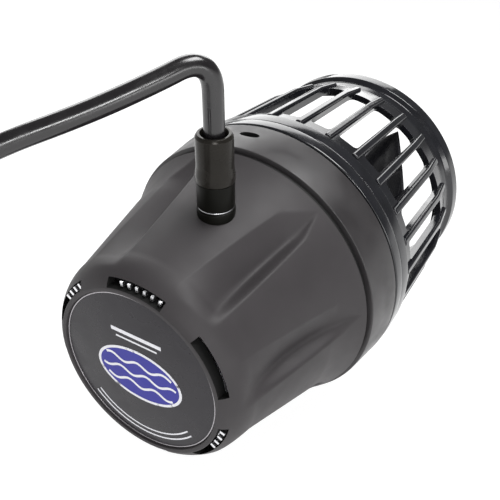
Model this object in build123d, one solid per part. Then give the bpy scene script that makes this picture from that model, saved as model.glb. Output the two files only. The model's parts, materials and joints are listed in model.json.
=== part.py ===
"""Wave maker pump: a dry motor side and a wet propeller side that hold each other by magnets.

Each piece is drawn in the pump's own frame: +Y along the shaft towards the outlet, y = 0 at the joint
between motor housing and collar, +Z up beside the cable gland, and angles in degrees about +Y, from the
top towards +X. laid() then tips the whole pump back until it lies on the collar's rear edge and the
housing's rear shoulder, which gives the model's frame: +Z up, origin under the middle of the pump.
Lengths are in millimetres.
"""
from build123d import *
from math import atan2, cos, degrees, pi, radians, sin, tan
import os

# Motor housing
WALL_FRONT_Y = -0.9
RIM_R = 45.7
FLARE_R, FLARE_Y = 40.9, -15.5
SHOULDER_R, SHOULDER_Y = 34.6, -46.5
LIP_R, REAR_Y = 28.6, -57.0
LABEL_R, LABEL_RECESS, LABEL_THICK = 27.2, 1.3, 0.5
FLUTE_ANGLES = (-20.5, 37.5, 84, 131, 188.5, 246, 293)
VENT_COUNT, VENT_PHASE, VENT_SPAN = 6, 2, 36
VENT_R_IN, VENT_R_OUT = 28.9, 31.3

# Collar and dry face
COLLAR_REAR_Y, COLLAR_FRONT_Y = 0.9, 15.4
COLLAR_REAR_R, COLLAR_FRONT_R, COLLAR_BORE_R = 46.8, 47.9, 43.0
FACE_PLATE_Y, FACE_PLATE_THICK = 12.5, 2.3

# Motor
SHAFT_R = 3.0
CAN_R, CAN_WALL = 28.2, 1.1
STATOR_Y, STATOR_LONG, TEETH = -24.0, 16.0, 12
PLATE_Y, PLATE_THICK = 1.4, 3.0
SINK_Y, SINK_THICK, FIN_Y, FIN_R, FINS = -30.0, 6.0, -51.4, 30.9, 72
FIN_PHASE, FIN_TIP_Y = 3, -55.6
FINLESS = ((-20, -8), (41, 84), (124, 144), (282, 302))
BOLT_RING_R, BOLT_PHASE, BOLT_R = 30.2, 60, 1.5
DRIVE_Y, DRIVE_R, DRIVE_THICK = 4.9, 35.0, 2.5
MAGNETS, MAGNET_RING_R, MAGNET_R, MAGNET_THICK = 8, 25.0, 8.5, 4.0

# Cable gland
GLAND_X, GLAND_Y, GLAND_FOOT_Z, GLAND_TOP_Z = 4.9, -22.6, 37.6, 64.0
SLEEVE_R, FOOT_R = 5.4, 5.65
CORD_R = 3.0

# Wet side
WET_REAR_Y, BASE_FRONT_Y, BASE_R = 15.9, 20.3, 47.9
CAGE_REAR_Y, CAGE_RING_Y, CAGE_R = 20.7, 26.0, 47.5
CAGE_WALL, CAGE_END_Y = 2.4, 73.0
RIBS, RIB_PHASE, FIN_THICK, FIN_PROUD = 26, 3.4, 2.2, 1.1
WINDOW_WIDE, WINDOW_Y0, WINDOW_Y1, WINDOW_CORNER_R = 7.7, 31.8, 65.4, 2.0
CAGE_TAPER = ((45.8, 27.2), (43.3, 61.0), (41.0, 72.0))
NOZZLE_Y, NOZZLE_R, NOZZLE_BORE_R = 70.0, 38.5, 37.3
OUTLET_LIP_R, FRONT_Y = 41.8, 84.0
WET_SHAFT_R, BUSH_R, WET_SHAFT_END_Y = 2.5, 4.0, 75.0
CARRIER_Y, CARRIER_R, CARRIER_LONG = 22.6, 38.5, 7.0
BLADES, BLADE_R, BLADE_Y, BLADE_PHASE = 3, 36.2, 58.0, 50
HUB_END_Y = 72.0

# Cord: a lead from the gland to the floor, a coil, and a tail that ends in the connector plug
COIL_X, COIL_Y = -20.0, -169.0
COIL_R_IN, COIL_R_OUT, COIL_HIGH = 21.6, 46.4, 12.0
PLUG_R, PLUG_LONG = 7.0, 26.0
BARREL_R, BARREL_LONG, NECK_R = 5.6, 6.2, 5.0

# The pump lies on the collar's rear edge and on the rear shoulder, which touches at this radius and y
TOUCH_R, TOUCH_Y = 34.203, -49.191
LIE_ANGLE = degrees(atan2(COLLAR_REAR_R - TOUCH_R, COLLAR_REAR_Y - TOUCH_Y))
LIE_UP = COLLAR_REAR_R * cos(radians(LIE_ANGLE)) - COLLAR_REAR_Y * sin(radians(LIE_ANGLE))
LIE_BACK = 14.56
LAID = Location((0, -LIE_BACK, LIE_UP), (LIE_ANGLE, 0, 0))

# Route of the lead in the model's frame: gland mouth, bend, run to the rear, fall, coil
LEAD_ROUTE = [
    (4.9, -51.1, 97.8),
    (5.1, -54.1, 109.0),
    (4.9, -56.3, 118.2),
    (1.9, -61.1, 121.0),
    (-3.0, -67.9, 116.0),
    (-14.6, -81.4, 106.3),
    (-30.5, -99.4, 95.4),
    (-44.0, -116.0, 81.5),
    (-54.5, -131.0, 62.5),
    (-61.5, -145.0, 39.0),
    (-66.0, -158.0, 19.5),
    (-66.0, -171.5, 9.0),
    (-62.5, -185.5, 5.0),
]
TAIL_ROUTE = [
    (21.6, -173.0, 9.3), (20.2, -159.9, 12.5), (13.6, -148.5, 16.5),
    (2.9, -140.7, 19.0), (-10.0, -138.0, 19.2),
]
STANDING = (Align.CENTER, Align.CENTER, Align.MIN)


def turned(outline):
    """A solid of revolution about the shaft, from (radius, y) corners."""
    return revolve(make_face(Polyline(*outline, close=True)), Axis.Y)


def ring(r_in, r_out, y0, y1):
    """A plain ring or, with no inner radius, a disc."""
    return turned([(r_in, y0), (r_out, y0), (r_out, y1), (r_in, y1)])


def rod(r, y0, y1, x=0.0, z=0.0):
    """A rod along the shaft's direction."""
    return Location((x, y0, z), (-90, 0, 0)) * Cylinder(r, y1 - y0, align=STANDING)


def spun(angle):
    """The turn about the shaft that takes the top to an angle."""
    return Rotation(0, angle, 0)


def around(shape, count, phase=0.0):
    """Copies of a shape, evenly spaced about the shaft."""
    return [spun(phase + 360 / count * k) * shape for k in range(count)]


def joined(shapes):
    """One compound of separate solids."""
    return Compound([solid for shape in shapes for solid in shape.solids()])


def upright(r, z0, z1):
    """A rod along the gland's axis."""
    return Location((GLAND_X, GLAND_Y, z0)) * Cylinder(r, z1 - z0, align=STANDING)


def arc_slot(r_in, r_out, span, y0, y1):
    """An arc-shaped cutter with round ends, centred on the top."""
    r_mid, half = (r_in + r_out) / 2, (r_out - r_in) / 2
    body = ring(r_in, r_out, y0, y1)
    wedge_r = r_out * 1.5
    side = radians(span / 2)
    across, along = wedge_r * sin(side), wedge_r * cos(side)
    corners = [(0, 0), (-across, along), (0, wedge_r * 1.2), (across, along)]
    wedge = Location((0, y1, 0), (90, 0, 0)) * extrude(make_face(Polyline(*corners, close=True)), y1 - y0)
    ends = [spun(a) * rod(half, y0, y1, 0, r_mid) for a in (-span / 2, span / 2)]
    return (body & wedge) + ends[0] + ends[1]


# Dry side


def housing_profile():
    """Half section of the housing's outside and inside, from the rim round the back."""
    flare = ThreePointArc((RIM_R, WALL_FRONT_Y), (42.55, -8.6), (FLARE_R, FLARE_Y))
    cone = Line((FLARE_R, FLARE_Y), (SHOULDER_R, SHOULDER_Y))
    shoulder = ThreePointArc((SHOULDER_R, SHOULDER_Y), (32.6, -53.0), (LIP_R + 0.6, REAR_Y + 0.25))
    rear = Polyline(
        (LIP_R + 0.6, REAR_Y + 0.25),
        (LIP_R, REAR_Y),
        (LABEL_R + 0.3, REAR_Y),
        (LABEL_R, REAR_Y + LABEL_RECESS),
        (0, REAR_Y + LABEL_RECESS),
        (0, REAR_Y + LABEL_RECESS + 2.0),
        (LABEL_R, REAR_Y + LABEL_RECESS + 2.0),
        (31.7, -52.4),
        (31.7, -44.0),
        (33.2, -25.0),
        (38.0, -9.5),
        (41.2, WALL_FRONT_Y),
        (RIM_R, WALL_FRONT_Y),
    )
    return make_face(Wire([flare, cone, shoulder, *rear.edges()]))


def flute():
    """A cutter for one flute: pointed at the rim, deepest at mid length, fading at the shoulder."""
    sections = []
    for y, floor in ((-2.6, 45.3), (-12.0, 39.4), (-24.0, 34.9), (-38.0, 33.5), (-49.0, 33.9)):
        high = 52.0 - floor
        corners = [(0, floor), (high * tan(radians(50)), 52), (-high * tan(radians(66)), 52)]
        sections.append(Location((0, y, 0), (90, 0, 0)) * make_face(Polyline(*corners, close=True)))
    return loft(sections, ruled=True)


def motor_housing():
    body = revolve(housing_profile(), Axis.Y)
    groove = flute()
    for angle in FLUTE_ANGLES:
        body -= spun(angle) * groove
    for slot in around(arc_slot(VENT_R_IN, VENT_R_OUT, VENT_SPAN, -60, -50), VENT_COUNT, VENT_PHASE):
        body -= slot
    boss = rod(3.6, -11.0, PLATE_Y, 0, 37.2)
    screw_hole = rod(1.55, -8.2, PLATE_Y + 1, 0, 37.2)
    for turn in around(boss, 4, 45):
        body += turn
    for turn in around(screw_hole, 4, 45):
        body -= turn
    body += upright(7.3, 31.05, 35)
    return body - upright(4.6, 28, 60) - upright(FOOT_R + 0.02, GLAND_FOOT_Z - 0.02, 60)


def rear_label():
    return ring(0, LABEL_R - 0.4, REAR_Y + LABEL_RECESS - LABEL_THICK, REAR_Y + LABEL_RECESS)


def housing_gasket():
    return ring(42.6, 45.3, WALL_FRONT_Y, COLLAR_REAR_Y)


def collar():
    body = turned([
        (42.6, COLLAR_REAR_Y),
        (COLLAR_REAR_R, COLLAR_REAR_Y),
        (COLLAR_FRONT_R, COLLAR_FRONT_Y - 0.7),
        (COLLAR_FRONT_R - 0.7, COLLAR_FRONT_Y),
        (COLLAR_BORE_R, COLLAR_FRONT_Y),
        (COLLAR_BORE_R, FACE_PLATE_Y),
        (40.5, FACE_PLATE_Y),
        (40.5, FACE_PLATE_Y - 1.6),
        (42.6, FACE_PLATE_Y - 2.6),
    ])
    pocket = Location((0, 9.3, 50), (0, 0, 0)) * extrude(SlotOverall(7.2, 2.9), -5.2)
    return body - spun(-5.4) * pocket


def face_plate():
    return ring(0, COLLAR_BORE_R - 0.1, FACE_PLATE_Y, FACE_PLATE_Y + FACE_PLATE_THICK)


def motor_plate():
    body = ring(0, 42.4, PLATE_Y, PLATE_Y + PLATE_THICK) + ring(0, 11, -4.6, PLATE_Y)
    body -= ring(0, 8.0, -3.4, PLATE_Y + PLATE_THICK)
    body -= ring(0, 5.0, -5, 5)
    bolt_hole = rod(1.6, 0, 6, 0, BOLT_RING_R)
    for hole in around(rod(1.6, 0, 6, 0, 37.2), 4, 45) + around(bolt_hole, 4, BOLT_PHASE):
        body -= hole
    for sink in around(rod(3.1, PLATE_Y + 1.2, 6, 0, 37.2), 4, 45):
        body -= sink
    for sink in around(rod(3.1, PLATE_Y + 1.2, 6, 0, BOLT_RING_R), 4, BOLT_PHASE):
        body -= sink
    return body - ring(8.0, 8.35, PLATE_Y - 0.15, PLATE_Y + 0.85)


def screw(length, x, z, head_y, r=BOLT_R):
    """A flat-head screw that points to the rear, with a cross recess."""
    body = rod(r, head_y - length, head_y, x, z) + rod(2.9, head_y - 1.6, head_y, x, z)
    cross = Location((x, head_y, z)) * (Box(3.4, 1.8, 0.7) + Box(0.7, 1.8, 3.4))
    return body - cross


def housing_screws():
    return joined(around(screw(9.5, 0, 37.2, PLATE_Y + 2.9), 4, 45))


def motor_bolts():
    return joined(around(screw(34.0, 0, BOLT_RING_R, PLATE_Y + 2.9), 4, BOLT_PHASE))


def motor_can():
    body = ring(CAN_R - CAN_WALL, CAN_R, SINK_Y, PLATE_Y)
    return body - Location((GLAND_X, GLAND_Y, CAN_R)) * Box(7, 9, 8)


def stator_core():
    outer = CAN_R - CAN_WALL - 0.02
    body = ring(outer - 3.2, outer, STATOR_Y, STATOR_Y + STATOR_LONG)
    tooth = Location((0, STATOR_Y + STATOR_LONG / 2, 19.4)) * Box(2.6, STATOR_LONG, 9.6)
    shoe = Location((0, STATOR_Y + STATOR_LONG / 2, 15.4)) * Box(6.2, STATOR_LONG, 1.4)
    for part in around(tooth + shoe, TEETH):
        body += part
    return body


def stator_coils():
    long = STATOR_LONG + 3.0
    coil = Box(5.2, long, 6.0) - Box(2.7, STATOR_LONG + 0.1, 7.0)
    return joined(around(Location((0, STATOR_Y + STATOR_LONG / 2, 19.7)) * coil, TEETH))


def heat_sink():
    body = ring(0, 31.4, SINK_Y - SINK_THICK, SINK_Y)
    body -= ring(0, 7.5, SINK_Y - 5.0, SINK_Y)
    body -= ring(0, 5.0, SINK_Y - 5.6, SINK_Y)
    for hole in around(rod(1.52, SINK_Y - 4, SINK_Y + 1, 0, BOLT_RING_R), 4, BOLT_PHASE):
        body -= hole
    fin_front = SINK_Y - SINK_THICK
    fin = Location((0, (FIN_Y + fin_front) / 2, (FIN_R + 14) / 2)) * Box(0.9, fin_front - FIN_Y, FIN_R - 14)
    tip = Location((0, (FIN_TIP_Y + FIN_Y + 0.4) / 2, FIN_R - 0.8)) * Box(0.9, FIN_Y + 0.4 - FIN_TIP_Y, 1.6)
    parts = [ring(12.5, 15.5, FIN_Y + 2, fin_front + 0.5)]
    for k in range(FINS):
        angle = (FIN_PHASE + 360 / FINS * k) % 360
        if any(low <= angle <= high or low <= angle - 360 <= high for low, high in FINLESS):
            continue
        parts.append(spun(angle) * fin)
        off_slot = (angle - VENT_PHASE + 180 / VENT_COUNT) % (360 / VENT_COUNT) - 180 / VENT_COUNT
        if abs(off_slot) < VENT_SPAN / 2 - 1.2:
            parts.append(spun(angle) * tip)
    return body.fuse(*parts).solid()


def sensor_board():
    return ring(16.0, 26.6, -28.6, -27.4)


def hall_sensors():
    chip = Location((0, -26.6, 18.0)) * Box(4.0, 1.6, 3.0)
    return joined([spun(a) * chip for a in (-30, 0, 30)])


def bearing(r_in, r_out, y0, y1, part):
    """One part of a ball bearing: its inner race, outer race or balls."""
    third = (r_out - r_in) / 3
    r_mid, y_mid = (r_in + r_out) / 2, (y0 + y1) / 2
    ball_r = third * 0.62
    track = revolve(Location((r_mid, y_mid, 0)) * Circle(ball_r + 0.06), Axis.Y)
    if part == "inner":
        return ring(r_in, r_in + third, y0, y1) - track
    if part == "outer":
        return ring(r_out - third, r_out, y0, y1) - track
    return joined(around(Location((0, y_mid, r_mid)) * Sphere(ball_r), 8))


def bearings(part):
    front = bearing(SHAFT_R + 0.02, 8.0, -3.4, 1.2, part)
    rear = bearing(SHAFT_R + 0.02, 7.5, SINK_Y - 5.0, SINK_Y - 0.4, part)
    return joined([front, rear])


def retaining_ring():
    return ring(8.0 - 0.9, 8.3, 1.3, 2.2) - Location((0, 1.75, 8)) * Box(3, 2, 4)


def gland_foot():
    body = upright(FOOT_R, GLAND_FOOT_Z, GLAND_FOOT_Z + 5.0)
    body += upright(4.55, GLAND_FOOT_Z - 9.2, GLAND_FOOT_Z + 1)
    return body - upright(CORD_R + 0.05, 20, 70)


def gland_nut():
    hexagon = Location((GLAND_X, GLAND_Y, 28.5)) * extrude(RegularPolygon(6.6, 6), 2.5)
    return hexagon - upright(4.6, 20, 60)


def gland_seal():
    return upright(4.2, GLAND_FOOT_Z + 5.1, GLAND_FOOT_Z + 8.6) - upright(CORD_R + 0.02, 20, 70)


def gland_sleeve():
    z0, z1 = GLAND_FOOT_Z + 5.1, GLAND_TOP_Z
    outline = [
        (4.3, z0), (5.5, z0), (5.65, z0 + 5.4), (SLEEVE_R, z0 + 7.4), (SLEEVE_R, z1 - 0.9),
        (SLEEVE_R - 0.5, z1), (4.1, z1), (3.6, z1 - 1.2), (3.6, z0 + 3.7), (4.3, z0 + 3.7),
    ]
    wall = Plane.XZ * make_face(Polyline(*outline, close=True))
    return Location((GLAND_X, GLAND_Y, 0)) * revolve(wall, Axis.Z)


def lead_wires():
    wire = upright(0.7, 27.4, GLAND_FOOT_Z + 2)
    return joined([Location((x, 0, 0)) * wire for x in (-1.6, 0, 1.6)])


# Rotor


def motor_shaft():
    return rod(SHAFT_R, SINK_Y - 5.4, DRIVE_Y + 6.4)


def rotor_core():
    return ring(SHAFT_R + 0.02, 11.0, STATOR_Y + 0.5, STATOR_Y + STATOR_LONG - 0.5)


def rotor_magnets():
    shell = ring(11.05, 13.6, STATOR_Y + 0.5, STATOR_Y + STATOR_LONG - 0.5)
    gap = Location((0, STATOR_Y + STATOR_LONG / 2, 12)) * Box(1.0, STATOR_LONG + 2, 6)
    for cut in around(gap, 8):
        shell -= cut
    return joined([shell])


def drive_plate():
    body = ring(0, DRIVE_R, DRIVE_Y, DRIVE_Y + DRIVE_THICK) + ring(0, 8, DRIVE_Y, DRIVE_Y + 5.6)
    body -= ring(0, SHAFT_R + 0.02, DRIVE_Y - 1, DRIVE_Y + 6)
    seat_y = DRIVE_Y + DRIVE_THICK - 0.5
    for seat in around(rod(MAGNET_R + 0.1, seat_y, DRIVE_Y + 6, 0, MAGNET_RING_R), MAGNETS):
        body -= seat
    return body


def disc_magnets(y0):
    return joined(around(rod(MAGNET_R, y0, y0 + MAGNET_THICK, 0, MAGNET_RING_R), MAGNETS))


def drive_magnets():
    return disc_magnets(DRIVE_Y + DRIVE_THICK - 0.45)


def drive_clip():
    return ring(SHAFT_R, 5.2, DRIVE_Y + 5.65, DRIVE_Y + 6.25) - Location((0, DRIVE_Y + 6, 5)) * Box(2.4, 2, 6)


# Wet side


def wet_base():
    body = turned([
        (WET_SHAFT_R, WET_REAR_Y + 1.4), (0, WET_REAR_Y + 1.4), (0, WET_REAR_Y), (BASE_R - 0.5, WET_REAR_Y),
        (BASE_R, WET_REAR_Y + 0.5), (BASE_R, BASE_FRONT_Y - 0.3), (BASE_R - 0.3, BASE_FRONT_Y),
        (41.0, BASE_FRONT_Y), (41.0, WET_REAR_Y + 3.0), (7.0, WET_REAR_Y + 3.0), (7.0, WET_REAR_Y + 5.6),
        (WET_SHAFT_R, WET_REAR_Y + 5.6),
    ])
    for hole in around(rod(1.3, WET_REAR_Y - 1, 22, 0, 43.6), 4, 20):
        body -= hole
    for sink in around(rod(2.4, WET_REAR_Y - 1, WET_REAR_Y + 1.7, 0, 43.6), 4, 20):
        body -= sink
    for seat in around(rod(4.1, WET_REAR_Y - 1, WET_REAR_Y + 1.0, 0, 36.0), 4, 45):
        body -= seat
    return body


def bumper_pads():
    return joined(around(rod(4.0, COLLAR_FRONT_Y + 0.02, WET_REAR_Y + 0.98, 0, 36.0), 4, 45))


def cage_screws():
    small = rod(1.25, WET_REAR_Y + 0.2, WET_REAR_Y + 8.0, 0, 43.6)
    small += rod(2.3, WET_REAR_Y + 0.1, WET_REAR_Y + 1.6, 0, 43.6)
    slot = Location((0, WET_REAR_Y + 0.1, 43.6)) * Box(3.0, 1.4, 0.6)
    return joined(around(small - slot, 4, 20))


def cage():
    """A tapered shell with a window between each two ribs, and a raised fin along each rib."""
    taper_in = [(r - CAGE_WALL, y) for r, y in reversed(CAGE_TAPER)]
    body = turned([
        (41.2, CAGE_REAR_Y), (CAGE_R - 0.4, CAGE_REAR_Y), (CAGE_R, CAGE_REAR_Y + 0.4),
        (CAGE_R, CAGE_RING_Y - 0.5), (CAGE_R - 0.5, CAGE_RING_Y), *CAGE_TAPER, (41.0, CAGE_END_Y),
        (41.0 - CAGE_WALL, CAGE_END_Y), *taper_in, (42.6, CAGE_RING_Y - 1.0), (41.2, CAGE_RING_Y - 2.0),
    ])
    window = Location((0, (WINDOW_Y0 + WINDOW_Y1) / 2, 38)) * extrude(
        RectangleRounded(WINDOW_WIDE, WINDOW_Y1 - WINDOW_Y0, WINDOW_CORNER_R), 14)
    for cut in around(window, RIBS, RIB_PHASE + 180 / RIBS):
        body -= cut
    outline = [(r + FIN_PROUD, y) for r, y in CAGE_TAPER] + [(r - 0.8, y) for r, y in reversed(CAGE_TAPER)]
    flat = make_face(Polyline(*outline, close=True))
    fin = Rotation(0, -90, 0) * extrude(flat, FIN_THICK / 2, both=True)
    body = body.fuse(*around(fin, RIBS, RIB_PHASE)).solid()
    for hole in around(rod(1.3, CAGE_REAR_Y - 1, WET_REAR_Y + 8.2, 0, 43.6), 4, 20):
        body -= hole
    return body


def outlet_ring():
    return turned([
        (NOZZLE_BORE_R, NOZZLE_Y), (NOZZLE_R - 0.4, NOZZLE_Y), (NOZZLE_R, NOZZLE_Y + 0.4),
        (NOZZLE_R, CAGE_END_Y + 0.05), (40.4, CAGE_END_Y + 0.05), (40.4, 77.5), (OUTLET_LIP_R, 78.6),
        (OUTLET_LIP_R, FRONT_Y - 1.2), (OUTLET_LIP_R - 1.2, FRONT_Y), (NOZZLE_BORE_R + 0.8, FRONT_Y),
        (NOZZLE_BORE_R, FRONT_Y - 0.8),
    ])


def shaft_cap():
    """The nose that keeps the propeller on its shaft."""
    y0 = HUB_END_Y + 1.1
    return turned([
        (WET_SHAFT_R, y0), (6.2, y0), (6.2, y0 + 1.2), (5.2, y0 + 3.6), (3.0, y0 + 5.0), (0, y0 + 5.4),
        (0, WET_SHAFT_END_Y + 0.02), (WET_SHAFT_R, WET_SHAFT_END_Y + 0.02),
    ])


def wet_shaft():
    return rod(WET_SHAFT_R - 0.01, WET_REAR_Y + 1.45, WET_SHAFT_END_Y)


# Propeller


def magnet_carrier():
    y1 = CARRIER_Y + CARRIER_LONG
    body = turned([
        (BUSH_R, CARRIER_Y), (CARRIER_R - 0.8, CARRIER_Y), (CARRIER_R, CARRIER_Y + 0.8),
        (CARRIER_R, y1 - 1.5), (CARRIER_R - 1.5, y1), (BUSH_R, y1),
    ])
    for seat in around(rod(MAGNET_R + 0.1, CARRIER_Y + 1.2, CARRIER_Y + 5.4, 0, MAGNET_RING_R), MAGNETS):
        body -= seat
    return body


def driven_magnets():
    return disc_magnets(CARRIER_Y + 1.3)


def blade():
    """One twisted blade, lofted through flat sections from the hub to the tip."""
    sections = []
    stations = ((8.0, 22, 64, 3.0), (18.0, 27, 54, 2.4), (28.0, 30, 48, 1.9), (BLADE_R, 28, 44, 1.5))
    for r, chord, pitch, thick in stations:
        plane = Plane(origin=(0, BLADE_Y, r), x_dir=(1, 0, 0), z_dir=(0, 0, 1))
        sections.append(plane * Rotation(0, 0, -pitch) * Ellipse(chord / 2, thick / 2))
    return loft(sections)


def propeller():
    y0, y1 = CARRIER_Y + CARRIER_LONG + 0.02, HUB_END_Y
    hub = turned([(BUSH_R, y0), (13.0, y0), (10.0, 36.0), (9.5, y1 - 3), (8.0, y1), (BUSH_R, y1)])
    return hub.fuse(*around(blade(), BLADES, BLADE_PHASE)).solid() - ring(0, BUSH_R, 20, y1 + 3)


def propeller_bushes():
    starts = (CARRIER_Y + 0.2, HUB_END_Y - 8.2)
    return joined([ring(WET_SHAFT_R + 0.04, BUSH_R - 0.01, y0, y0 + 8.0) for y0 in starts])


def thrust_washers():
    pair = [ring(WET_SHAFT_R + 0.04, 6.0, y0, y0 + 0.9) for y0 in (WET_REAR_Y + 5.65, HUB_END_Y + 0.1)]
    return joined(pair)


# Cord


def corner_radii(points):
    """For each corner, 0.45 of the shorter run divided by the tangent of half the turn."""
    radii = []
    for a, b, c in zip(points, points[1:], points[2:]):
        before, after = Vector(*b) - Vector(*a), Vector(*c) - Vector(*b)
        turn = radians(before.get_angle(after))
        radii.append(0.45 * min(before.length, after.length) / tan(turn / 2))
    return radii


def cord_tube(points, name):
    """A round tube along straight runs that tangent arcs join."""
    radii = corner_radii(points)
    path = FilletPolyline(*points, radius=radii)
    start = Plane(origin=path @ 0, z_dir=path % 0)
    tube = sweep(start * Circle(CORD_R), path=path)
    share = tube.volume / (pi * CORD_R**2 * path.length)
    bends = " ".join(f"{r:.0f}" for r in radii)
    print(f"{name}: {path.length:.0f} mm, volume share {share:.4f}, radii {bends}")
    return tube


def cord_lead():
    return cord_tube(LEAD_ROUTE, "lead")


def cord_coil():
    high = COIL_HIGH / 2
    turns = Cylinder(COIL_R_OUT, COIL_HIGH) - Cylinder(COIL_R_IN, COIL_HIGH)
    body = Location((COIL_X, COIL_Y, high)) * turns
    return fillet(body.edges().filter_by(GeomType.CIRCLE), 2.6)


def cord_tail():
    return cord_tube(TAIL_ROUTE, "tail")


def plug_axis():
    """Where the tail enters the plug, and the way the plug points."""
    end = Vector(*TAIL_ROUTE[-1])
    way = Vector(end.X - TAIL_ROUTE[-2][0], end.Y - TAIL_ROUTE[-2][1], 0).normalized()
    return Plane(origin=end, z_dir=way)


def plug_turned(outline):
    """A solid of revolution about the plug's axis, from (radius, distance) corners."""
    return plug_axis() * revolve(Plane.XZ * make_face(Polyline(*outline, close=True)), Axis.Z)


def plug_body():
    return plug_turned([
        (0, 0), (4.2, 0), (5.4, 8), (PLUG_R - 0.4, 10), (PLUG_R - 0.4, 22), (NECK_R, 23),
        (NECK_R, PLUG_LONG), (0, PLUG_LONG),
    ])


def plug_barrel():
    end = PLUG_LONG + 9.0
    return plug_turned([
        (4.2, PLUG_LONG + 0.02), (NECK_R, PLUG_LONG + 0.02), (NECK_R, end - BARREL_LONG),
        (BARREL_R, end - BARREL_LONG),
        (BARREL_R, end), (4.2, end),
    ])


def plug_nut():
    return plug_turned([(NECK_R + 0.05, 23.1), (PLUG_R, 23.1), (PLUG_R, 28.5), (NECK_R + 0.05, 28.5)])


def plug_pins():
    pin = Pos(0, 2.3, PLUG_LONG + 0.02) * Cylinder(0.8, 7.0, align=STANDING)
    return joined([plug_axis() * Rot(0, 0, -turn) * pin for turn in (0, 120, 240)])


PUMP_PIECES = {
    "motor_housing": motor_housing,
    "rear_label": rear_label,
    "housing_gasket": housing_gasket,
    "collar": collar,
    "face_plate": face_plate,
    "motor_plate": motor_plate,
    "housing_screws": housing_screws,
    "motor_bolts": motor_bolts,
    "motor_can": motor_can,
    "stator_core": stator_core,
    "stator_coils": stator_coils,
    "heat_sink": heat_sink,
    "sensor_board": sensor_board,
    "hall_sensors": hall_sensors,
    "bearing_outer_races": lambda: bearings("outer"),
    "bearing_inner_races": lambda: bearings("inner"),
    "bearing_balls": lambda: bearings("balls"),
    "bearing_retaining_ring": retaining_ring,
    "gland_foot": gland_foot,
    "gland_nut": gland_nut,
    "gland_seal": gland_seal,
    "gland_sleeve": gland_sleeve,
    "lead_wires": lead_wires,
    "motor_shaft": motor_shaft,
    "rotor_core": rotor_core,
    "rotor_magnets": rotor_magnets,
    "drive_plate": drive_plate,
    "drive_magnets": drive_magnets,
    "drive_clip": drive_clip,
    "wet_base": wet_base,
    "bumper_pads": bumper_pads,
    "cage_screws": cage_screws,
    "cage": cage,
    "outlet_ring": outlet_ring,
    "shaft_cap": shaft_cap,
    "wet_shaft": wet_shaft,
    "magnet_carrier": magnet_carrier,
    "driven_magnets": driven_magnets,
    "propeller": propeller,
    "propeller_bushes": propeller_bushes,
    "thrust_washers": thrust_washers,
}
CORD_PIECES = {
    "cord_lead": cord_lead,
    "cord_coil": cord_coil,
    "cord_tail": cord_tail,
    "plug_body": plug_body,
    "plug_barrel": plug_barrel,
    "plug_nut": plug_nut,
    "plug_pins": plug_pins,
}


def main():
    os.makedirs("parts", exist_ok=True)
    pump = {name: LAID * make() for name, make in PUMP_PIECES.items()}
    for name, shape in {**pump, **{name: make() for name, make in CORD_PIECES.items()}}.items():
        export_step(shape, f"parts/{name}.step")
    box = Compound([solid for shape in pump.values() for solid in shape.solids()]).bounding_box()
    print(f"lies at {LIE_ANGLE:.3f} degrees, up {LIE_UP:.3f}")
    print(f"pump box {box.min} to {box.max}")


main()
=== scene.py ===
"""Wave maker pump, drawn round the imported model.

Unless a name says otherwise, lengths are in millimetres in the pump's own frame: Y along the shaft towards
the outlet, Z up beside the cable gland, y = 0 at the joint between housing and collar. Angles are in degrees
about +Y, from the top towards +X. PUMP takes that frame, as the pump lies on the floor, to the row's frame.
"""
import json
import math

import bmesh
import bpy
from mathutils import Matrix, Vector


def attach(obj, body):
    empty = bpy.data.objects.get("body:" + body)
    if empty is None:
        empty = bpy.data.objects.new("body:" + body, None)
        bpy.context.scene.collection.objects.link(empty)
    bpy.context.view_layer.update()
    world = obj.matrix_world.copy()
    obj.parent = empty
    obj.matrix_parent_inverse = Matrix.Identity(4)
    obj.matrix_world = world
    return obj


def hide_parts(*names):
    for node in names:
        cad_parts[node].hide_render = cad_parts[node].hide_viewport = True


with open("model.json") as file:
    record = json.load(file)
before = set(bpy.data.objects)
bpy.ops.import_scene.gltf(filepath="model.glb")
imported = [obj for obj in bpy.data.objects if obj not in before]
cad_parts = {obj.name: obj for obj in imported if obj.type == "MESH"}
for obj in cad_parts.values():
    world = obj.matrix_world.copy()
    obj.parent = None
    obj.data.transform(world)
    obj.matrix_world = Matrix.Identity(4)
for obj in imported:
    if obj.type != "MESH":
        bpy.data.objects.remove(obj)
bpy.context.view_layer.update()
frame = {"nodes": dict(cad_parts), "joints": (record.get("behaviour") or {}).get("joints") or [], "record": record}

MM = 0.001
SLOT_OF = {part["node"]: part["material_slot"] for part in frame["record"]["subparts"]}
SPIN = next(joint for joint in frame["joints"] if joint["name"] == "rotor_spin")
SHAFT = Vector(SPIN["axis"]).normalized()
ACROSS = Vector((1, 0, 0))
UPRIGHT = ACROSS.cross(SHAFT)
PUMP = Matrix.Translation(SPIN["pos_m"]) @ Matrix((ACROSS, SHAFT, UPRIGHT)).transposed().to_4x4()


# ---- Camera

CAMERA_TARGET = (0, 2.73, 8.66)
CAMERA_AZIMUTH, CAMERA_ELEVATION, CAMERA_DISTANCE = 33.07, 34.82, 274.6
CAMERA_LENS_MM, SENSOR_MM = 59.4, 36.0


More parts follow.
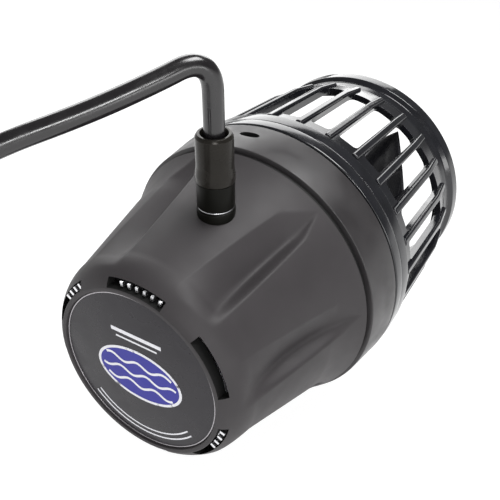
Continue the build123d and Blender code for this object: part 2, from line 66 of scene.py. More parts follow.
def add_camera():
    azimuth, elevation = math.radians(CAMERA_AZIMUTH), math.radians(CAMERA_ELEVATION)
    back = Vector((
        math.sin(azimuth) * math.cos(elevation),
        -math.cos(azimuth) * math.cos(elevation),
        math.sin(elevation),
    ))
    right = Vector((math.cos(azimuth), math.sin(azimuth), 0))
    stand = Matrix((right, back.cross(right), back)).transposed().to_4x4()
    place = (Vector(CAMERA_TARGET) + back * CAMERA_DISTANCE) * MM
    camera = bpy.data.objects.new("camera", bpy.data.cameras.new("camera"))
    camera.data.lens = CAMERA_LENS_MM
    camera.data.sensor_width = SENSOR_MM
    camera.data.clip_start = 0.01
    camera.matrix_world = PUMP @ Matrix.Translation(place) @ stand
    bpy.context.scene.collection.objects.link(camera)
    bpy.context.scene.camera = camera


# ---- Materials: colours are linear RGB, sizes of patterns are in millimetres

MIRROR_LIMIT, COAT_ROUGHNESS, GRAIN_STRENGTH = 0.02, 0.12, 0.6


def shader(name):
    """A new material with its tree, its Principled node and a noise helper in object coordinates."""
    material = bpy.data.materials.new(name)
    material.use_nodes = True
    tree = material.node_tree
    principled = tree.nodes["Principled BSDF"]
    coordinates = tree.nodes.new("ShaderNodeTexCoord")

    def noise(size_mm, detail=3.0, stretch=(1, 1, 1)):
        mapping = tree.nodes.new("ShaderNodeMapping")
        mapping.inputs["Scale"].default_value = [s / (size_mm * MM) for s in stretch]
        texture = tree.nodes.new("ShaderNodeTexNoise")
        texture.inputs["Scale"].default_value = 1.0
        texture.inputs["Detail"].default_value = detail
        tree.links.new(coordinates.outputs["Object"], mapping.inputs["Vector"])
        tree.links.new(mapping.outputs["Vector"], texture.inputs["Vector"])
        return texture.outputs["Fac"]

    return material, tree, principled, noise


def ranged(tree, value, low, high, start=0.3, end=0.7):
    """value from start to end, mapped to low to high."""
    node = tree.nodes.new("ShaderNodeMapRange")
    node.inputs["From Min"].default_value = start
    node.inputs["From Max"].default_value = end
    node.inputs["To Min"].default_value = low
    node.inputs["To Max"].default_value = high
    tree.links.new(value, node.inputs["Value"])
    return node.outputs["Result"]


def tinted(tree, value, dark, light):
    """A colour that runs from dark to light with value."""
    node = tree.nodes.new("ShaderNodeMix")
    node.data_type = "RGBA"
    node.inputs["A"].default_value = (*dark, 1)
    node.inputs["B"].default_value = (*light, 1)
    tree.links.new(value, node.inputs["Factor"])
    return node.outputs["Result"]


def bumped(tree, principled, value, depth_mm, strength):
    """Relief on the surface, as deep as depth_mm where value is 1."""
    node = tree.nodes.new("ShaderNodeBump")
    node.inputs["Strength"].default_value = strength
    node.inputs["Distance"].default_value = depth_mm * MM
    tree.links.new(value, node.inputs["Height"])
    tree.links.new(node.outputs["Normal"], principled.inputs["Normal"])


def surface(name, color, roughness, metallic=0.0, mottle=0.12, mottle_size=9.0,
            grain=0.35, grain_depth=0.01, smudge=0.08, smudge_size=6.0, stretch=(1, 1, 1),
            specular=0.5, coat=0.0):
    """A moulded, machined or painted surface: mottled colour, smudged gloss and a fine grain."""
    material, tree, principled, noise = shader(name)
    dark = [c * (1 - mottle) for c in color]
    light = [min(1.0, c * (1 + mottle)) for c in color]
    tint = tinted(tree, ranged(tree, noise(mottle_size), 0, 1), dark, light)
    tree.links.new(tint, principled.inputs["Base Color"])
    glossiest, dullest = max(MIRROR_LIMIT, roughness - smudge), roughness + smudge
    rough = ranged(tree, noise(smudge_size, 4.0, stretch), glossiest, dullest)
    tree.links.new(rough, principled.inputs["Roughness"])
    principled.inputs["Metallic"].default_value = metallic
    principled.inputs["Specular IOR Level"].default_value = specular
    principled.inputs["Coat Weight"].default_value = coat
    principled.inputs["Coat Roughness"].default_value = COAT_ROUGHNESS
    bumped(tree, principled, noise(grain, 2.0, stretch), grain_depth, GRAIN_STRENGTH)
    return material


def make_materials():
    """One material for each of the record's slots, and the few that only pieces drawn here use."""
    return {
        "housing": surface(
            "shell", (0.036, 0.0325, 0.0345), 0.55, mottle=0.05, grain=0.28, grain_depth=0.022,
            smudge=0.03, specular=0.35),
        "collar": surface(
            "collar", (0.031, 0.0285, 0.030), 0.38, mottle=0.18, mottle_size=14.0, smudge=0.12,
            smudge_size=10.0, grain=0.4, grain_depth=0.008),
        "label": surface(
            "label", (0.018, 0.016, 0.020), 0.30, mottle=0.06, grain=0.2, grain_depth=0.003,
            specular=0.3),
        "gasket": surface("gasket", (0.006, 0.006, 0.006), 0.6),
        "face": surface("face", (0.03, 0.03, 0.032), 0.3, grain_depth=0.004),
        "alloy": surface("alloy", (0.86, 0.86, 0.88), 0.28, 1.0, grain=0.5, stretch=(1, 4, 1)),
        "steel": surface(
            "steel", (0.56, 0.56, 0.58), 0.3, 1.0, stretch=(1, 6, 1), grain_depth=0.004),
        "laminations": surface(
            "laminations", (0.3, 0.3, 0.32), 0.42, 1.0, grain=0.35, stretch=(0.05, 1, 0.05)),
        "copper": surface(
            "copper", (0.78, 0.33, 0.13), 0.3, 1.0, grain=0.5, stretch=(1, 0.1, 1),
            grain_depth=0.05),
        "board": surface("board", (0.02, 0.12, 0.05), 0.4, grain=1.2),
        "chip": surface("chip", (0.012, 0.012, 0.013), 0.45),
        "magnet": surface("magnet", (0.66, 0.66, 0.69), 0.16, 1.0, grain_depth=0.003),
        "gland_black": surface(
            "gland_black", (0.004, 0.004, 0.003), 0.36, mottle=0.2, grain=0.3, specular=0.1),
        "gland_sleeve": surface(
            "gland_sleeve", (0.019, 0.017, 0.0145), 0.26, 0.35, grain=0.5, grain_depth=0.004,
            smudge=0.05, specular=0.2),
        "seal": surface("seal", (0.02, 0.02, 0.02), 0.6),
        "cord": surface(
            "cord", (0.009, 0.008, 0.009), 0.22, smudge=0.1, smudge_size=5.0, grain=0.8,
            grain_depth=0.006, specular=0.7, coat=0.15),
        "wet_plastic": surface(
            "wet_plastic", (0.010, 0.0105, 0.013), 0.16, mottle=0.3, smudge=0.08, grain=1.5,
            grain_depth=0.02, coat=0.25),
        "pad": surface("pad", (0.03, 0.03, 0.03), 0.7),
        "ceramic": surface("ceramic", (0.86, 0.86, 0.82), 0.12, mottle=0.03),
        "blade": surface(
            "blade", (0.016, 0.016, 0.019), 0.14, grain=1.5, grain_depth=0.01, coat=0.3),
        "bush": surface("bush", (0.78, 0.76, 0.7), 0.4),
        "wire": surface("wire", (0.5, 0.04, 0.03), 0.35),
        "plug_plastic": surface(
            "plug_plastic", (0.016, 0.016, 0.017), 0.38, grain=0.3, grain_depth=0.015),
        "bright_ring": surface("bright_ring", (0.62, 0.62, 0.64), 0.2, 1.0, grain_depth=0.002),
        # painted highlight: a light grey ring at the label's edge that stands for the reflection of light along it
        "painted_edge_highlight": surface("painted_edge_highlight", (0.42, 0.40, 0.42), 0.22, 0.6, grain_depth=0.002),
        "print_blue": surface(
            "print_blue", (0.03, 0.03, 0.30), 0.36, mottle=0.05, grain_depth=0.002,
            specular=0.25),
        # painted shade: a near-black for the walls of the vents and of the collar's pocket, darker than the shell,
        # where shade falls in those recesses
        "painted_recess_shade": surface("painted_recess_shade", (0.008, 0.008, 0.008), 0.7, specular=0.15),
        "print_white": surface(
            "print_white", (0.80, 0.80, 0.84), 0.36, mottle=0.03, grain_depth=0.002),
    }


MATERIALS = make_materials()


# ---- Mesh building

SHARP_ANGLE, CUT_SHARP_ANGLE = 40, 38
MERGE_DISTANCE_M = 1e-7


def polar(r, y, angle, across=0.0):
    """The point that lies r out from the shaft at an angle, moved sideways by across."""
    a = math.radians(angle)
    return (r * math.sin(a) + across * math.cos(a), y, r * math.cos(a) - across * math.sin(a))


def rounded(corners, radius, steps=4):
    """A closed outline whose corners are rounded, each by radius or as far as its shorter side allows."""
    outline = []
    count = len(corners)
    for i, corner in enumerate(corners):
        here = Vector(corner)
        before = Vector(corners[i - 1]) - here
        after = Vector(corners[(i + 1) % count]) - here
        if here.x == 0 or min(before.length, after.length) == 0:
            outline.append(tuple(here))
            continue
        bend = before.angle(after)
        cut = min(radius / math.tan(bend / 2), before.length * 0.45, after.length * 0.45)
        start, end = here + before.normalized() * cut, here + after.normalized() * cut
        for k in range(steps + 1):
            t = k / steps
            outline.append(tuple(start.lerp(here, t).lerp(here.lerp(end, t), t)))
    return outline


def lathed(outline, steps=192, radius=None):
    """A closed outline of (r, y) turned about the shaft. radius(r, y, angle) may change r."""
    points, faces = [], []
    count = len(outline)
    for k in range(steps):
        angle = 360 * k / steps
        for r, y in outline:
            points.append(polar(radius(r, y, angle) if radius else r, y, angle))
    for k in range(steps):
        here, there = k * count, (k + 1) % steps * count
        for i in range(count):
            j = (i + 1) % count
            if outline[i][0] == 0 and outline[j][0] == 0:
                continue
            faces.append((here + i, here + j, there + j, there + i))
    return points, faces


def skinned(loops):
    """A closed solid through loops of equally many points, capped at both ends."""
    count, last = len(loops[0]), len(loops) - 1
    faces = [tuple(range(count)), tuple(last * count + i for i in reversed(range(count)))]
    for level in range(last):
        start = level * count
        for i in range(count):
            j = (i + 1) % count
            faces.append((start + i, start + j, start + count + j, start + count + i))
    return [point for loop in loops for point in loop], faces


def plated(outline, thick, turn):
    """A flat plate of (r, y) outline in the plane through the shaft at an angle."""
    return skinned([[polar(r, y, turn, side * thick) for r, y in outline] for side in (-0.5, 0.5)])


def together(parts):
    """Several (points, faces) as one."""
    points, faces = [], []
    for part_points, part_faces in parts:
        start = len(points)
        points += part_points
        faces += [tuple(start + i for i in face) for face in part_faces]
    return points, faces


def piece(name, shape, material, body, stands_for=(), in_row_frame=False):
    """A mesh piece from (points, faces), riding on a body and standing for the given CAD nodes."""
    points, faces = shape
    place = Matrix.Identity(4) if in_row_frame else PUMP
    mesh = bpy.data.meshes.new(name)
    mesh.from_pydata([place @ (Vector(p) * MM) for p in points], [], faces)
    shaped = bmesh.new()
    shaped.from_mesh(mesh)
    bmesh.ops.remove_doubles(shaped, verts=shaped.verts, dist=MERGE_DISTANCE_M)
    bmesh.ops.recalc_face_normals(shaped, faces=shaped.faces)
    shaped.to_mesh(mesh)
    shaped.free()
    mesh.polygons.foreach_set("use_smooth", [True] * len(mesh.polygons))
    mesh.set_sharp_from_angle(angle=math.radians(SHARP_ANGLE))
    mesh.materials.append(MATERIALS[material])
    made = bpy.data.objects.new(name, mesh)
    bpy.context.scene.collection.objects.link(made)
    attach(made, body)
    if stands_for:
        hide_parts(*stands_for)
    return made


def cut(made, cutter_shape, name, material):
    """Cuts a shape from a piece. The cut's walls get the material."""
    cutter = piece(name, cutter_shape, material, "dry_side")
    modifier = made.modifiers.new("cut", "BOOLEAN")
    modifier.material_mode = "TRANSFER"
    modifier.object = cutter
    modifier.solver = "EXACT"
    graph = bpy.context.evaluated_depsgraph_get()
    shape = bpy.data.meshes.new_from_object(made.evaluated_get(graph))
    made.modifiers.clear()
    made.data = shape
    bpy.data.objects.remove(cutter)


def bevel_edges(made, width, segments, angle=35):
    """Rounds the edges that are sharper than an angle."""
    modifier = made.modifiers.new("bevel", "BEVEL")
    modifier.width = width * MM
    modifier.segments = segments
    modifier.limit_method = "ANGLE"
    modifier.angle_limit = math.radians(angle)
    modifier.harden_normals = True


# ---- Cord: the gland is given in the pump's frame, the route and the coil in the row's frame

CORD_R = 3.0
GLAND_X, GLAND_Y, GLAND_TOP = 4.9, -22.6, 64.0
COIL_MIDDLE = (-20.0, -169.0)
COIL_START, COIL_STEP_UP, COIL_STEPPED, COIL_END = 225, 1260, 1440, 2514
COIL_WIND_START, COIL_ANGLE_STEP = 180, 24
COIL_OUTER_R, COIL_INNER_R, COIL_TOP_R = 43.5, 24.0, 41.7
FLOOR_Z, UPPER_Z = 3.0, 9.05
LEAD_ROUTE = [
    (4.9, -51.1, 97.8),
    (5.1, -54.1, 109.0),
    (4.9, -56.3, 118.2),
    (1.9, -61.1, 121.0),
    (-3.0, -67.9, 116.0),
    (-14.6, -81.4, 106.3),
    (-30.5, -99.4, 95.4),
    (-44.0, -116.0, 81.5),
    (-54.5, -131.0, 62.5),
    (-61.5, -145.0, 39.0),
    (-66.0, -158.0, 19.5),
    (-66.0, -171.5, 9.0),
    (-62.5, -185.5, 5.0),
]
TAIL_ROUTE = [
    (20.2, -159.9, 12.5),
    (13.6, -148.5, 16.5),
    (2.9, -140.7, 19.0),
    (-10.0, -138.0, 19.2),
]


def coil_route():
    """Two layers of turns: the lower one winds inwards, the upper one outwards."""
    route = []
    for angle in range(COIL_START, COIL_END + 1, COIL_ANGLE_STEP):
        if angle < COIL_STEP_UP:
            t = (angle - COIL_WIND_START) / (COIL_STEP_UP - COIL_WIND_START)
            r = COIL_OUTER_R + (COIL_INNER_R - COIL_OUTER_R) * t
            z = FLOOR_Z
        else:
            t = max(0.0, (angle - COIL_STEPPED) / (COIL_END - COIL_STEPPED))
            lift = min(1.0, (angle - COIL_STEP_UP) / (COIL_STEPPED - COIL_STEP_UP))
            r = COIL_INNER_R + (COIL_TOP_R - COIL_INNER_R) * t
            z = FLOOR_Z + (UPPER_Z - FLOOR_Z) * lift
        a = math.radians(angle)
        route.append((COIL_MIDDLE[0] + r * math.cos(a), COIL_MIDDLE[1] + r * math.sin(a), z))
    return route


def add_cord(plug):
    """One round tube from the gland to the plug, in the row's frame."""
    curve = bpy.data.curves.new("cord", "CURVE")
    curve.dimensions = "3D"
    curve.bevel_depth = CORD_R * MM
    curve.bevel_resolution = 8
    curve.resolution_u = 10
    route = LEAD_ROUTE + coil_route() + TAIL_ROUTE
    spline = curve.splines.new("NURBS")
    spline.points.add(len(route) - 1)
    for point, place in zip(spline.points, route):
        point.co = (*(Vector(place) * MM), 1)
    spline.order_u = 3
    spline.use_endpoint_u = True
    curve.materials.append(MATERIALS["cord"])
    cord = bpy.data.objects.new("cord", curve)
    bpy.context.scene.collection.objects.link(cord)
    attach(cord, "dry_side")
    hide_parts("cord_lead", "cord_coil", "cord_tail")


# ---- Plug on the coil: outlines of (r, distance from where the cord enters it)

GRIP_OUTLINE = [(0, 0), (3.9, 0), (5.2, 8), (6.5, 10), (6.5, 22), (5.0, 23), (5.0, 26), (0, 26)]
RELIEF_OUTLINE = [
    (3.3, -7), (4.1, -6.6), (4.2, -5.4), (3.7, -5), (3.7, -4.2), (4.3, -3.8), (4.4, -2.4),
    (3.8, -2), (3.8, -1.2), (4.4, -0.8), (4.5, 0.6), (3.2, 0.6),
]
NUT_OUTLINE = [(5.05, 23.1), (6.75, 23.1), (6.75, 28.5), (5.05, 28.5)]
BARREL_OUTLINE = [(4.2, 26.02), (5.0, 26.02), (5.0, 28.8), (5.6, 28.8), (5.6, 35), (4.2, 35)]
RIDGED_FROM_R = 5.7


def plug_place():
    """The plug's frame: origin where the cord enters it, Z along it."""
    start, end = Vector(TAIL_ROUTE[-2]), Vector(TAIL_ROUTE[-1])
    along = Vector((end.x - start.x, end.y - start.y, 0)).normalized()
    return Matrix.Translation(end) @ along.to_track_quat("Z", "Y").to_matrix().to_4x4()


def plug_shape(outline, ridges=0, ridge_depth=0.0, ridged=(0, 0), steps=96):
    """An outline of (r, distance) turned about the plug's axis, with lengthwise ridges on one stretch."""
    place = plug_place()
    points, faces = lathed(outline, steps)
    moved = []
    for x, along, z in points:
        grow = 1.0
        if ridges and ridged[0] < along < ridged[1] and math.hypot(x, z) > RIDGED_FROM_R:
            grow += ridge_depth * max(0.0, math.cos(ridges * math.atan2(x, z)))
        moved.append(tuple(place @ Vector((x * grow, z * grow, along))))
    return moved, faces


def add_plug():
    grip = plug_shape(rounded(GRIP_OUTLINE, 0.5), 12, 0.03, (10.5, 21.5))
    relief = plug_shape(rounded(RELIEF_OUTLINE, 0.3))
    nut = plug_shape(rounded(NUT_OUTLINE, 0.35), 24, 0.035, (23.4, 28.2), 192)
    barrel = plug_shape(rounded(BARREL_OUTLINE, 0.2))
    drawn = (
        ("plug_grip", grip, "plug_plastic", ["plug_body"]),
        ("plug_relief", relief, "plug_plastic", []),
        ("plug_collar", nut, "plug_plastic", ["plug_nut"]),
        ("plug_tube", barrel, "steel", ["plug_barrel"]),
    )
    made = [piece(name, shape, material, "dry_side", nodes, in_row_frame=True)
            for name, shape, material, nodes in drawn]
    return [*made, frame["nodes"]["plug_pins"]]


# ---- Dry side

RIM_R, RIM_Y = 45.7, -0.9
FLARE_R, FLARE_Y = 40.9, -15.5
SHOULDER_R, SHOULDER_Y = 34.6, -46.5
LIP_R, REAR_Y = 28.6, -57.0
LABEL_R, LABEL_RECESS = 27.2, 1.3
CONE_ROWS = 34

# Each flute has a crease at an angle, a long slope before it and a short wall after it
FLUTES = (-20.5, 37.5, 84, 131, 188.5, 246, 293)
FLUTE_FRONT, FLUTE_REAR, FLUTE_DEPTH = -3.0, -52.0, 4.3
RIDGE_FRONT, RIDGE_REAR, WALL_FRONT, WALL_REAR = 9.0, 19.0, 4.5, 8.0
FLUTE_GROWS, BLUNT_FRONT, BLUNT_GROWS = 0.16, 0.5, 2.2
VENTS, VENT_PHASE, VENT_SPAN, VENT_R_IN, VENT_R_OUT = 6, 2, 37, 28.9, 31.3
VENT_CUT_REAR, VENT_CUT_FRONT, VENT_STEPS = -60, -50.5, 24


def arc(start, through, end, steps):
    """Points on the arc from start through a point to end, without the last one."""
    (ax, ay), (bx, by), (cx, cy) = start, through, end
    d = 2 * (ax * (by - cy) + bx * (cy - ay) + cx * (ay - by))
    ux = ((ax**2 + ay**2) * (by - cy) + (bx**2 + by**2) * (cy - ay) + (cx**2 + cy**2) * (ay - by)) / d
    uy = ((ax**2 + ay**2) * (cx - bx) + (bx**2 + by**2) * (ax - cx) + (cx**2 + cy**2) * (bx - ax)) / d
    r = math.hypot(ax - ux, ay - uy)
    a0, a1 = math.atan2(ay - uy, ax - ux), math.atan2(cy - uy, cx - ux)
    if a1 - a0 > math.pi:
        a1 -= 2 * math.pi
    if a0 - a1 > math.pi:
        a1 += 2 * math.pi
    turns = [a0 + (a1 - a0) * k / steps for k in range(steps)]
    return [(ux + r * math.cos(a), uy + r * math.sin(a)) for a in turns]


def housing_outline():
    """The shell's outside from the rim to the lip, and the whole outline that goes on inside it.

    The outside has many rows, because the flutes bend them.
    """
    outside = [(RIM_R - 0.5, RIM_Y), (RIM_R - 0.1, RIM_Y - 0.1)]
    outside += arc((RIM_R, RIM_Y - 0.35), (42.55, -8.6), (FLARE_R, FLARE_Y), 18)
    flare, shoulder = Vector((FLARE_R, FLARE_Y)), Vector((SHOULDER_R, SHOULDER_Y))
    outside += [tuple(flare.lerp(shoulder, k / CONE_ROWS)) for k in range(CONE_ROWS)]
    lip_start = (LIP_R + 0.6, REAR_Y + 0.25)
    outside += arc((SHOULDER_R, SHOULDER_Y), (32.6, -53.0), lip_start, 14)
    lip = [lip_start, (LIP_R, REAR_Y), (LABEL_R + 0.3, REAR_Y), (LABEL_R, REAR_Y + LABEL_RECESS)]
    corner_steps = 4
    rear = rounded(lip, 0.25, corner_steps)[corner_steps + 1:]
    inside = [
        (0, REAR_Y + LABEL_RECESS),
        (0, REAR_Y + LABEL_RECESS + 2.0),
        (LABEL_R, REAR_Y + LABEL_RECESS + 2.0),
        (31.7, -52.4),
        (31.7, -44.0),
        (33.2, -25.0),
        (38.0, -9.5),
        (41.2, RIM_Y),
    ]
    return outside, outside + rear + inside


def flute_cut(angle, y):
    """How far the flutes cut into the shell at an angle and y. A flute widens towards the rear."""
    if not FLUTE_REAR < y < FLUTE_FRONT:
        return 0.0
    t = (FLUTE_FRONT - y) / (FLUTE_FRONT - FLUTE_REAR)
    ridge = RIDGE_FRONT + (RIDGE_REAR - RIDGE_FRONT) * t
    wall = WALL_FRONT + (WALL_REAR - WALL_FRONT) * t
    grow = min(1.0, t / FLUTE_GROWS)
    ridge, wall = ridge * grow, wall * grow
    blunt = BLUNT_FRONT + BLUNT_GROWS * t
    for crease in FLUTES:
        off = (angle - crease + 180) % 360 - 180
        if -ridge < off < wall:
            side = ridge if off < 0 else wall
            near = (math.hypot(off, blunt) - blunt) / (math.hypot(side, blunt) - blunt)
            share = 1 - near
            if off > 0:
                share = share * share * (3 - 2 * share)
            return FLUTE_DEPTH * math.sin(math.pi * t) * share
    return 0.0


def vent_cutter(turn):
    """A bar that follows an arc of the vents, to be cut from the shell."""
    corners = ((VENT_R_IN, VENT_CUT_REAR), (VENT_R_OUT, VENT_CUT_REAR),
               (VENT_R_OUT, VENT_CUT_FRONT), (VENT_R_IN, VENT_CUT_FRONT))
    angles = [turn + VENT_SPAN * (k / VENT_STEPS - 0.5) for k in range(VENT_STEPS + 1)]
    return skinned([[polar(r, y, angle) for r, y in corners] for angle in angles])


def add_housing():
    outside, outline = housing_outline()
    fluted_rows = set(outside)

    def radius(r, y, angle):
        return r - flute_cut(angle, y) if (r, y) in fluted_rows else r

    shape = lathed(outline, 720, radius)
    shell = piece("housing_shell", shape, "housing", "dry_side", ["motor_housing"])
    vents = [vent_cutter(VENT_PHASE + 360 / VENTS * k) for k in range(VENTS)]
    # The vents' walls are painted shade, a near-black darker than the shell
    cut(shell, together(vents), "vent_cutters", "painted_recess_shade")
    shell.data.set_sharp_from_angle(angle=math.radians(CUT_SHARP_ANGLE))


COLLAR_OUTLINE = [(42.6, 0.9), (46.8, 0.9), (47.9, 14.9), (47.3, 15.4), (43.0, 15.4), (42.6, 8.0)]
GASKET_OUTLINE = [(42.6, -0.9), (45.0, -0.9), (45.0, 0.9), (42.6, 0.9)]
POCKET_TURN, POCKET_Y, POCKET_HALF_WIDE, POCKET_HALF_LONG, POCKET_BLUNT = -5.4, 9.4, 3.7, 1.35, 0.8
POCKET_LEVELS = ((44.8, 0.8), (46.9, 0.92), (48.6, 1.12))


def pocket_cutter():
    """The collar's oval pocket, which widens outwards through levels of (r, size)."""
    oval_points = []
    for k in range(36):
        a = math.radians(10 * k)
        wide = math.copysign(abs(math.cos(a)) ** POCKET_BLUNT, math.cos(a))
        oval_points.append((POCKET_HALF_WIDE * wide, POCKET_HALF_LONG * math.sin(a)))
    return skinned([
        [polar(r, POCKET_Y + along * size, POCKET_TURN, across * size) for across, along in oval_points]
        for r, size in POCKET_LEVELS
    ])


def add_collar():
    shape = lathed(rounded(COLLAR_OUTLINE, 0.35), 256)
    ring = piece("collar_ring", shape, "collar", "dry_side", ["collar"])
    # The pocket's walls are painted shade, a near-black darker than the collar
    cut(ring, pocket_cutter(), "pocket_cutter", "painted_recess_shade")
    ring.data.set_sharp_from_angle(angle=math.radians(CUT_SHARP_ANGLE))
    gasket = lathed(rounded(GASKET_OUTLINE, 0.2))
    piece("gasket_ring", gasket, "gasket", "dry_side", ["housing_gasket"])


# The gland's pieces from the foot up: outline of (r, z), material, CAD nodes
GLAND_PIECES = {
    "gland_base": (
        [(3.1, 37.6), (5.65, 37.6), (5.65, 40.5), (5.0, 40.9), (3.1, 40.9)],
        "gland_black", ["gland_foot"]),
    "gland_washer": (
        [(3.1, 40.9), (5.35, 40.9), (5.35, 41.35), (3.1, 41.35)],
        "bright_ring", []),
    "gland_body": (
        [(3.3, 41.4), (5.5, 41.4), (5.55, 49.3), (3.3, 49.3)],
        "gland_black", []),
    "gland_tube": (
        [(3.6, 49.4), (5.72, 49.4), (5.72, 51.5), (5.42, 54.2), (5.4, 63.1),
         (4.85, GLAND_TOP), (4.05, GLAND_TOP), (3.6, 62.8)],
        "gland_sleeve", ["gland_sleeve"]),
}


def add_gland():
    """Foot, thin bright ring, black lower part and sleeve, all about the gland's own upright axis."""
    for name, (corners, material, nodes) in GLAND_PIECES.items():
        points, faces = lathed(rounded(corners, 0.25), 96)
        upright = [(GLAND_X + x, GLAND_Y - z, y) for x, y, z in points]
        piece(name, (upright, faces), material, "dry_side", nodes)


# ---- Label: a disc with plain marks, whose outlines are (x, z) and face the rear

LABEL_Y, LABEL_THICK, LABEL_DISC_R = REAR_Y + LABEL_RECESS - 0.5, 0.5, 26.7
EMBLEM_X, EMBLEM_Z, EMBLEM_HALF_WIDE, EMBLEM_HALF_HIGH, EMBLEM_RIM = 0.0, -1.6, 15.0, 9.0, 0.45
WAVE_HEIGHTS, WAVE_HIGH, WAVE_LONG, WAVE_WIDE, WAVE_GAP = (3.9, 0.0, -3.9), 0.85, 9.5, 0.85, 1.6
ARC_RADII, ARC_ANGLES, ARC_WIDE = (22.4, 24.2), range(132, 229, 4), 0.5
PRINT_BACK, GROUND_RAISED, EMBLEM_RAISED, LINES_RAISED = 0.02, 0.05, 0.09, 0.06


def printed(outlines, raised):
    """Flat shapes that stand out from the label by a little."""
    levels = (LABEL_Y - raised, LABEL_Y + PRINT_BACK)
    return together([skinned([[(x, y, z) for x, z in outline] for y in levels]) for outline in outlines])


def band(path, width):
    """A flat ribbon of even width along a path."""
    left, right = [], []
    for i, point in enumerate(path):
        way = Vector(path[min(len(path) - 1, i + 1)]) - Vector(path[max(0, i - 1)])
        way.normalize()
        side = Vector((-way.y, way.x)) * width / 2
        left.append(tuple(Vector(point) + side))
        right.append(tuple(Vector(point) - side))
    return left + right[::-1]


def oval(grow, steps=72):
    """The emblem's edge, grown outwards."""
    wide, high = EMBLEM_HALF_WIDE + grow, EMBLEM_HALF_HIGH + grow
    turns = [math.tau * k / steps for k in range(steps)]
    return [(EMBLEM_X + wide * math.cos(a), EMBLEM_Z + high * math.sin(a)) for a in turns]


def wave(height, phase, steps=48):
    """A wave line across the emblem that stops inside its edge."""
    reach = EMBLEM_HALF_WIDE * math.sqrt(1 - (height / EMBLEM_HALF_HIGH) ** 2) - WAVE_GAP
    line = []
    for k in range(steps + 1):
        x = reach * (2 * k / steps - 1)
        rise = WAVE_HIGH * math.sin(math.tau * (x / WAVE_LONG) + phase)
        line.append((EMBLEM_X + x, EMBLEM_Z + height + rise))
    return line


def label_arc(r):
    """A thin arc near the label's lower edge."""
    turns = [math.radians(angle) for angle in ARC_ANGLES]
    return band([(r * math.sin(a), r * math.cos(a)) for a in turns], ARC_WIDE)


def add_label():
    front = LABEL_Y + LABEL_THICK
    disc = [(0, LABEL_Y), (LABEL_DISC_R, LABEL_Y), (LABEL_DISC_R, front), (0, front)]
    piece("label_disc", lathed(rounded(disc, 0.15), 128), "label", "dry_side", ["rear_label"])
    edge = [(26.75, LABEL_Y - 0.15), (27.1, LABEL_Y - 0.15), (27.15, LABEL_Y + 0.4), (26.75, LABEL_Y + 0.4)]
    # The rim's light grey is painted highlight, standing for the reflection along the label's edge
    piece("label_rim", lathed(rounded(edge, 0.1)), "painted_edge_highlight", "dry_side")
    piece("emblem_ground", printed([oval(0)], GROUND_RAISED), "print_blue", "dry_side")
    outer, inner = oval(EMBLEM_RIM), oval(-EMBLEM_RIM)
    rim = []
    for k in range(len(outer)):
        after = (k + 1) % len(outer)
        rim.append([outer[k], outer[after], inner[after], inner[k]])
    waves = [band(wave(height, 0.5 * height), WAVE_WIDE) for height in WAVE_HEIGHTS]
    lines = [band([(-9.0, 13.0), (9.0, 13.0)], 1.3), band([(-7.4, 10.8), (7.4, 10.8)], 0.6)]
    arcs = [label_arc(r) for r in ARC_RADII]
    piece("emblem_lines", printed(rim + waves, EMBLEM_RAISED), "print_white", "dry_side")
    piece("label_lines", printed(lines, LINES_RAISED), "print_white", "dry_side")
    piece("label_arcs", printed(arcs, LINES_RAISED), "print_white", "dry_side")


# ---- Wet side

BASE_REAR, BASE_FRONT, BASE_R, SEAT_R = 15.9, 20.3, 47.9, 41.0
CAGE_REAR, CAGE_RING, CAGE_R, CAGE_END = 20.7, 26.0, 47.5, 73.0
CAGE_TAPER = ((45.8, 27.2), (43.3, 61.0), (41.0, 72.0))
CAGE_WALL, RIB_PROUD, RIB_ROOT = 2.4, 1.1, 0.6
RIBS, RIB_PHASE, RIB_WIDE = 26, 3.4, 2.5
WINDOW_REAR, WINDOW_FRONT, WINDOW_WIDE, WINDOW_CORNER = 31.8, 65.4, 7.7, 2.0
WINDOW_CUT_RADII = (38.0, 50.0)
NOZZLE_BORE_R, OUTLET_R, OUTLET_FRONT, LIP_BEVEL = 37.3, 41.8, 84.0, 1.2


def window_cutter(turn):
    """A rounded window's prism through the cage wall."""
    half = WINDOW_WIDE / 2
    corners = [(half, WINDOW_REAR), (half, WINDOW_FRONT), (-half, WINDOW_FRONT), (-half, WINDOW_REAR)]
    outline = rounded(corners, WINDOW_CORNER, 5)
    return skinned([[polar(r, y, turn, x) for x, y in outline] for r in WINDOW_CUT_RADII])


def add_cage():
    """A ribbed cone from the base to the outlet, with a window between each two ribs."""
    mouth_r = CAGE_TAPER[-1][0]
    taper_in = [(r - CAGE_WALL, y) for r, y in reversed(CAGE_TAPER)]
    outline = rounded([
        (41.2, CAGE_REAR),
        (CAGE_R, CAGE_REAR),
        (CAGE_R, CAGE_RING - 0.6),
        (46.2, CAGE_RING),
        *CAGE_TAPER,
        (mouth_r, CAGE_END),
        (mouth_r - CAGE_WALL, CAGE_END),
        *taper_in,
        (42.6, CAGE_RING - 1),
        (41.2, CAGE_RING - 2),
    ], 0.35)
    shell = piece("cage_shell", lathed(outline, 312), "wet_plastic", "wet_side", ["cage"])
    turns = [RIB_PHASE + 360 / RIBS * k for k in range(RIBS)]
    windows = [window_cutter(turn + 180 / RIBS) for turn in turns]
    cut(shell, together(windows), "window_cutters", "wet_plastic")
    bevel_edges(shell, 0.45, 3, 50)
    ridge = [(r + RIB_PROUD, y) for r, y in CAGE_TAPER]
    foot = [(r - RIB_ROOT, y) for r, y in reversed(CAGE_TAPER)]
    plates = [plated(ridge + foot, RIB_WIDE, turn) for turn in turns]
    ribs = piece("cage_ribs", together(plates), "wet_plastic", "wet_side")
    bevel_edges(ribs, 0.75, 4)


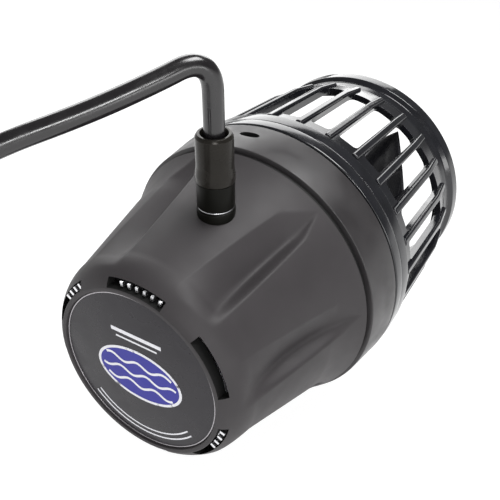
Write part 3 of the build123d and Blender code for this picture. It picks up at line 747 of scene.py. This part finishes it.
def add_wet_side():
    base = rounded([
        (0, BASE_REAR),
        (BASE_R, BASE_REAR),
        (BASE_R, BASE_FRONT),
        (SEAT_R, BASE_FRONT),
        (SEAT_R, BASE_REAR + 3),
        (0, BASE_REAR + 3),
    ], 0.7)
    piece("wet_ring", lathed(base, 256), "wet_plastic", "wet_side", ["wet_base"])
    add_cage()
    outlet = rounded([
        (NOZZLE_BORE_R, 70.0),
        (38.4, 70.0),
        (38.5, 73.2),
        (40.3, 73.2),
        (40.4, 77.4),
        (OUTLET_R, 78.8),
        (OUTLET_R, OUTLET_FRONT - LIP_BEVEL),
        (OUTLET_R - LIP_BEVEL, OUTLET_FRONT),
        (NOZZLE_BORE_R, OUTLET_FRONT),
    ], 0.6, 6)
    piece("outlet", lathed(outlet, 256), "wet_plastic", "wet_side", ["outlet_ring"])


# ---- Floor, light and background, in metres and the row's frame

FLOOR_SIZE = 60
FLOOR_DARK, FLOOR_LIGHT, FLOOR_GLOW = (0.20, 0.20, 0.20), (0.22, 0.22, 0.22), 0.95

# Name, place, target, size, watts
LIGHTS = (
    ("key", (0.22, -0.02, 0.90), (0, 0, 0.05), (0.5, 0.4), 7.4),
    ("fill", (0.82, -0.40, 0.08), (0, 0, 0.06), (0.55, 0.14), 1.2),
    ("front", (0.50, -0.74, 0.40), (0, -0.06, 0.09), (0.34, 0.10), 2.4),
    ("rim", (-0.55, 0.60, 0.60), (0, 0, 0.06), (1.0, 0.6), 7),
)

# The background is white up to the horizon and fades to a dim studio above it
HORIZON_Z, STUDIO_Z = 0.06, 0.24
HORIZON_LEVEL, STUDIO_LEVEL = 1.0, 0.15


def add_stage():
    bpy.ops.mesh.primitive_plane_add(size=FLOOR_SIZE, location=(0, 0, 0))
    floor = bpy.context.object
    floor.name = "floor"
    material, tree, principled, noise = shader("floor")
    tint = tinted(tree, ranged(tree, noise(60.0), 0, 1), FLOOR_DARK, FLOOR_LIGHT)
    tree.links.new(tint, principled.inputs["Base Color"])
    principled.inputs["Roughness"].default_value = 0.8
    principled.inputs["Specular IOR Level"].default_value = 0.1
    principled.inputs["Emission Color"].default_value = (1, 1, 1, 1)
    principled.inputs["Emission Strength"].default_value = FLOOR_GLOW
    floor.data.materials.append(material)


def add_area_light(name, place, target, size, watts):
    light = bpy.data.lights.new(name, "AREA")
    light.shape = "RECTANGLE"
    light.size, light.size_y = size
    light.energy = watts
    made = bpy.data.objects.new(name, light)
    made.location = place
    made.rotation_euler = (Vector(target) - Vector(place)).to_track_quat("-Z", "Y").to_euler()
    bpy.context.scene.collection.objects.link(made)


def add_background():
    world = bpy.data.worlds.new("studio")
    world.use_nodes = True
    nodes, links = world.node_tree.nodes, world.node_tree.links
    background = nodes["Background"]
    background.inputs["Color"].default_value = (1, 1, 1, 1)
    direction = nodes.new("ShaderNodeTexCoord")
    split = nodes.new("ShaderNodeSeparateXYZ")
    level = nodes.new("ShaderNodeMapRange")
    level.interpolation_type = "SMOOTHSTEP"
    level.inputs["From Min"].default_value = HORIZON_Z
    level.inputs["From Max"].default_value = STUDIO_Z
    level.inputs["To Min"].default_value = HORIZON_LEVEL
    level.inputs["To Max"].default_value = STUDIO_LEVEL
    links.new(direction.outputs["Generated"], split.inputs["Vector"])
    links.new(split.outputs["Z"], level.inputs["Value"])
    links.new(level.outputs["Result"], background.inputs["Strength"])
    bpy.context.scene.world = world
    bpy.context.scene.view_settings.view_transform = "Standard"


def dress_nodes():
    """Every CAD node that still shows gets the material of its slot."""
    for name, node in frame["nodes"].items():
        node.data.materials.clear()
        node.data.materials.append(MATERIALS[SLOT_OF[name]])


add_camera()
dress_nodes()
add_cord(add_plug())
add_housing()
add_collar()
add_gland()
add_label()
add_wet_side()
add_stage()
for light in LIGHTS:
    add_area_light(*light)
add_background()
